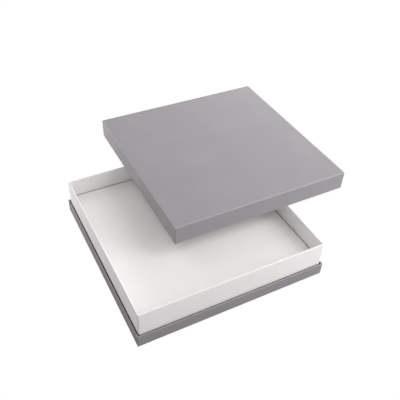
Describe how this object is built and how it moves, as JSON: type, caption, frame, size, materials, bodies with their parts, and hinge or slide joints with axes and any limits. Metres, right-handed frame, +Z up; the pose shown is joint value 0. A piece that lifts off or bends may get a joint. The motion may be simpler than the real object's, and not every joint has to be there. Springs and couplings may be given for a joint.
{
  "type": "archival box",
  "caption": "Square archival box of grey and white paper-covered board: shallow base, white neck tray with a raised floor, and a lift-off lid lying level across the rim.",
  "frame": {"origin": "middle of the underside of the base, on the surface that the box stands on", "axes": "+X to the right, +Y to the back, +Z up; the lid is set aside towards +X and +Y"},
  "size_m": [0.421, 0.417, 0.0988],
  "materials": {
    "grey_paper": "matt warm grey covering paper with a fine fibre texture",
    "white_paper": "matt white covering and lining paper, very slightly warm",
    "greyboard": "raw solid greyboard",
    "stay_paper": "brown kraft stay paper, glued round the board corners and hidden by the cover"
  },
  "bodies": {
    "base": {"base_back_wall": "greyboard", "base_corner_stays": "stay_paper", "base_cover_paper": "grey_paper", "base_floor_board": "greyboard", "base_front_wall": "greyboard", "base_left_wall": "greyboard", "base_lining_sheet": "white_paper", "base_right_wall": "greyboard", "base_underside_sheet": "grey_paper"},
    "tray": {"tray_back_wall": "greyboard", "tray_corner_stays": "stay_paper", "tray_cover_paper": "white_paper", "tray_floor_board": "greyboard", "tray_front_wall": "greyboard", "tray_left_wall": "greyboard", "tray_lining_sheet": "white_paper", "tray_right_wall": "greyboard"},
    "raised_floor": {"raised_floor_back_wall": "greyboard", "raised_floor_corner_stays": "stay_paper", "raised_floor_cover_paper": "white_paper", "raised_floor_front_wall": "greyboard", "raised_floor_left_wall": "greyboard", "raised_floor_panel_board": "greyboard", "raised_floor_right_wall": "greyboard"},
    "lid": {"lid_back_wall": "greyboard", "lid_corner_stays": "stay_paper", "lid_cover_paper": "grey_paper", "lid_front_wall": "greyboard", "lid_left_wall": "greyboard", "lid_lining_sheet": "white_paper", "lid_right_wall": "greyboard", "lid_top_board": "greyboard"}
  },
  "joints": [
    {"name": "tray_lift", "type": "slide", "parent": "base", "child": "tray", "axis": [0, 0, 1], "range_m": [0, 0.06]},
    {"name": "raised_floor_lift", "type": "slide", "parent": "tray", "child": "raised_floor", "axis": [0, 0, 1], "range_m": [0, 0.03]},
    {"name": "lid_lift", "type": "slide", "parent": "tray", "child": "lid", "axis": [0, 0, 1], "range_m": [0, 0.25]}
  ]
}
